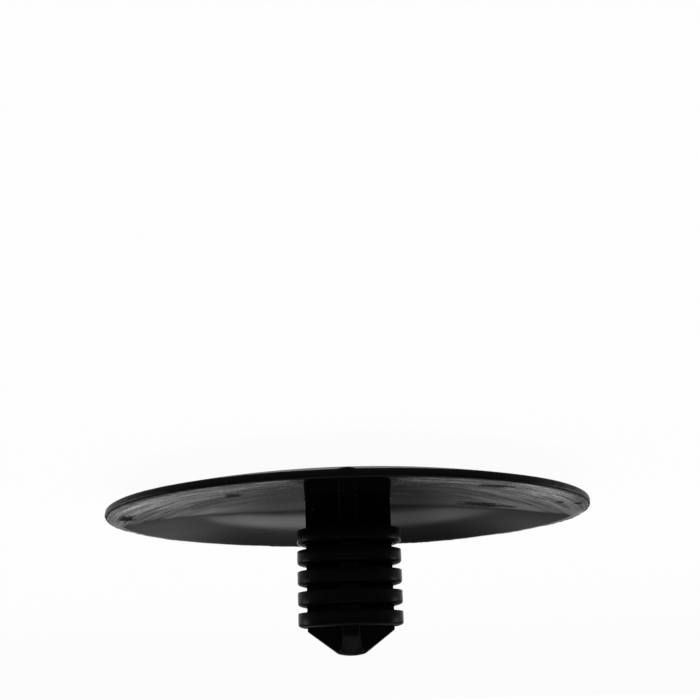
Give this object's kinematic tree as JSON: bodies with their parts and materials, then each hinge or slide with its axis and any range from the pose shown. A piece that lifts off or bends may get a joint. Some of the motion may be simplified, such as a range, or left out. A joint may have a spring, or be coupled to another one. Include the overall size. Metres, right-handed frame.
{
  "type": "push rivet",
  "caption": "One-piece plastic push-in rivet with a wide, shallow domed head and a short ribbed shank on a cross-shaped core with a blunt point.",
  "frame": {"origin": "middle of the dome's outside, on which the rivet stands", "axes": "+Z along the shank from the head towards the point; X across the two wings of the core, Y through its web"},
  "size_m": [0.038, 0.038, 0.0137],
  "materials": {
    "black_plastic": "moulded black nylon, fine matt grain on the dome, smooth and semi-gloss underneath and on the shank"
  },
  "bodies": {
    "root": {"push_rivet": "black_plastic"}
  },
  "joints": []
}
